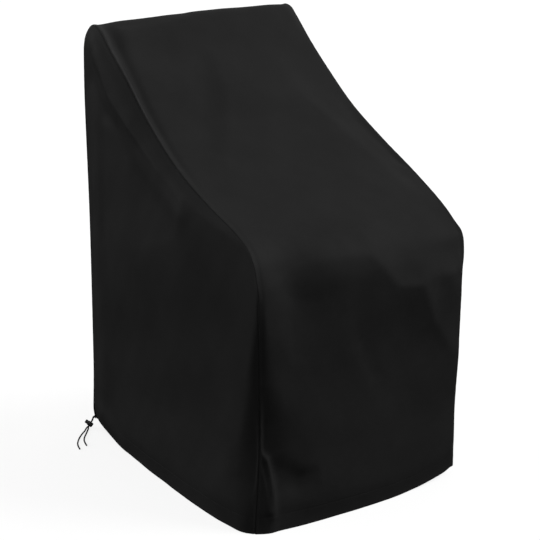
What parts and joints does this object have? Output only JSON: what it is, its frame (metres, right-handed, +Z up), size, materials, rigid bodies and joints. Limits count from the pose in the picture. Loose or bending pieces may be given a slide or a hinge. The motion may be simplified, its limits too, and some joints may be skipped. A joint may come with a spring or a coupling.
{
  "type": "stacking chair cover",
  "caption": "Fitted weather cover for a stack of chairs: open-bottomed cloth hood with a tall back, a sloping front, and a drawcord hem with a spring lock.",
  "frame": {"origin": "on the ground, under the middle of the cover's box without its cord ends", "axes": "+Z up, the low front faces -Y, the tall back is at +Y, +X is the right side seen from the front"},
  "size_m": [0.8338, 0.9594, 1.21],
  "materials": {
    "cloth_strip": "black coated polyester, closely woven, with a soft sheen",
    "cloth_sides": "black coated polyester, closely woven, with a soft sheen",
    "cord": "black braided polyester cord",
    "lock": "black moulded plastic, slightly polished by use"
  },
  "bodies": {
    "cover": {"centre_strip": "cloth_strip", "side_left": "cloth_sides", "side_right": "cloth_sides", "cord_end_long": "cord", "cord_end_short": "cord", "lock_barrel": "lock"},
    "button": {"lock_button": "lock"}
  },
  "joints": [
    {"name": "button_press", "type": "slide", "parent": "cover", "child": "button", "axis": [0.6227, -0.5223, -0.5826], "range_m": [0, 0.003], "stiffness_N_per_m": 400, "springref_m": -0.002}
  ]
}
